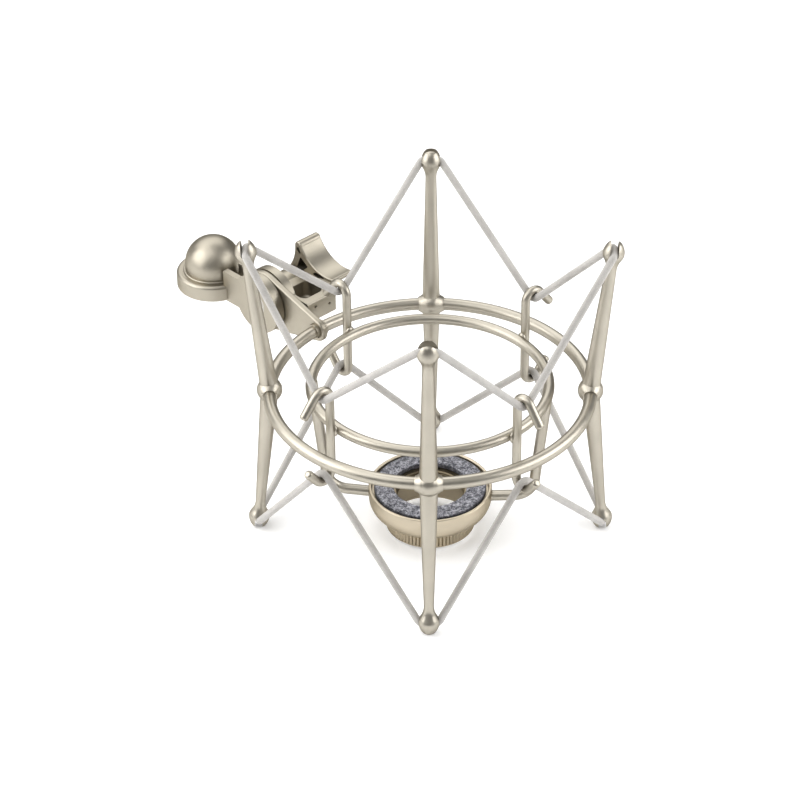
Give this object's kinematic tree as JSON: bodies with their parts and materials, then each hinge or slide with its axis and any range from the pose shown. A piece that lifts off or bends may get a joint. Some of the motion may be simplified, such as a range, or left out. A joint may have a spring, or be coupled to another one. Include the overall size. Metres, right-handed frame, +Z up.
{
  "type": "microphone shock mount",
  "caption": "Spider shock mount for a studio microphone: spindled outer cage, sprung inner cage on elastic cords, threaded basket and swivel stand adapter.",
  "frame": {"origin": "centre of the ring nut's top face, where the microphone's thread goes in", "axes": "+Z up along the cage's axis, +X through the right-hand spindle, +Y through the back spindle; the swivel adapter is at 135 degrees"},
  "size_m": [0.2006, 0.1981, 0.149],
  "materials": {
    "satin_nickel_steel": "satin nickel plated steel rod",
    "satin_nickel_casting": "satin nickel plated casting",
    "satin_nickel_brass": "satin nickel plated brass",
    "satin_nickel_brass_cup": "satin nickel plated spun cup",
    "fastener_steel": "bright steel",
    "elastic_cord": "woven light grey cover over rubber",
    "grey_felt": "mottled grey wool felt",
    "friction_plastic": "natural"
  },
  "bodies": {
    "outer_cage": {"outer_ring": "satin_nickel_steel", "node_ball_right": "satin_nickel_steel", "node_ball_back": "satin_nickel_steel", "node_ball_left": "satin_nickel_steel", "node_ball_front": "satin_nickel_steel", "upper_spindle_right": "satin_nickel_steel", "upper_spindle_back": "satin_nickel_steel", "upper_spindle_left": "satin_nickel_steel", "upper_spindle_front": "satin_nickel_steel", "lower_spindle_right": "satin_nickel_steel", "lower_spindle_back": "satin_nickel_steel", "lower_spindle_left": "satin_nickel_steel", "lower_spindle_front": "satin_nickel_steel", "upper_elastic": "elastic_cord", "lower_elastic": "elastic_cord", "bracket_cheek": "satin_nickel_casting", "bracket_collars": "satin_nickel_casting"},
    "inner_cage": {"inner_ring": "satin_nickel_steel", "hook_wire_back_right": "satin_nickel_steel", "hook_wire_back_left": "satin_nickel_steel", "hook_wire_front_left": "satin_nickel_steel", "hook_wire_front_right": "satin_nickel_steel", "weld_beads": "satin_nickel_steel", "strut_right": "satin_nickel_steel", "strut_left": "satin_nickel_steel", "basket_cup": "satin_nickel_brass_cup", "felt_ring": "grey_felt"},
    "ring_nut": {"ring_nut": "satin_nickel_brass", "retaining_ring": "fastener_steel"},
    "stand_adapter": {"adapter_fork": "satin_nickel_casting", "dome_cap": "satin_nickel_casting", "thread_insert": "satin_nickel_brass", "friction_washers": "friction_plastic", "clamp_bolt": "fastener_steel", "clamp_block": "satin_nickel_casting", "block_screws": "fastener_steel", "thrust_washer": "fastener_steel"},
    "clamp_lever": {"clamp_lever": "satin_nickel_casting", "lever_bush": "satin_nickel_brass"}
  },
  "joints": [
    {"name": "cage_float", "type": "slide", "parent": "outer_cage", "child": "inner_cage", "axis": [0, 0, 1], "range_m": [-0.006, 0.006], "stiffness_N_per_m": 1500, "springref_m": 0.0013, "deforming": ["upper_elastic", "lower_elastic"]},
    {"name": "ring_nut_turn", "type": "hinge", "parent": "inner_cage", "child": "ring_nut", "pos_m": [0, 0, -0.0182], "axis": [0, 0, 1], "continuous": true},
    {"name": "swivel_tilt", "type": "hinge", "parent": "outer_cage", "child": "stand_adapter", "pos_m": [-0.07509, 0.07255, 0.0543], "axis": [0.7071, 0.7071, 0], "range_deg": [-90, 90]},
    {"name": "lever_turn", "type": "hinge", "parent": "stand_adapter", "child": "clamp_lever", "pos_m": [-0.05685, 0.09079, 0.0543], "axis": [0.7071, 0.7071, 0], "range_deg": [0, 270]}
  ]
}
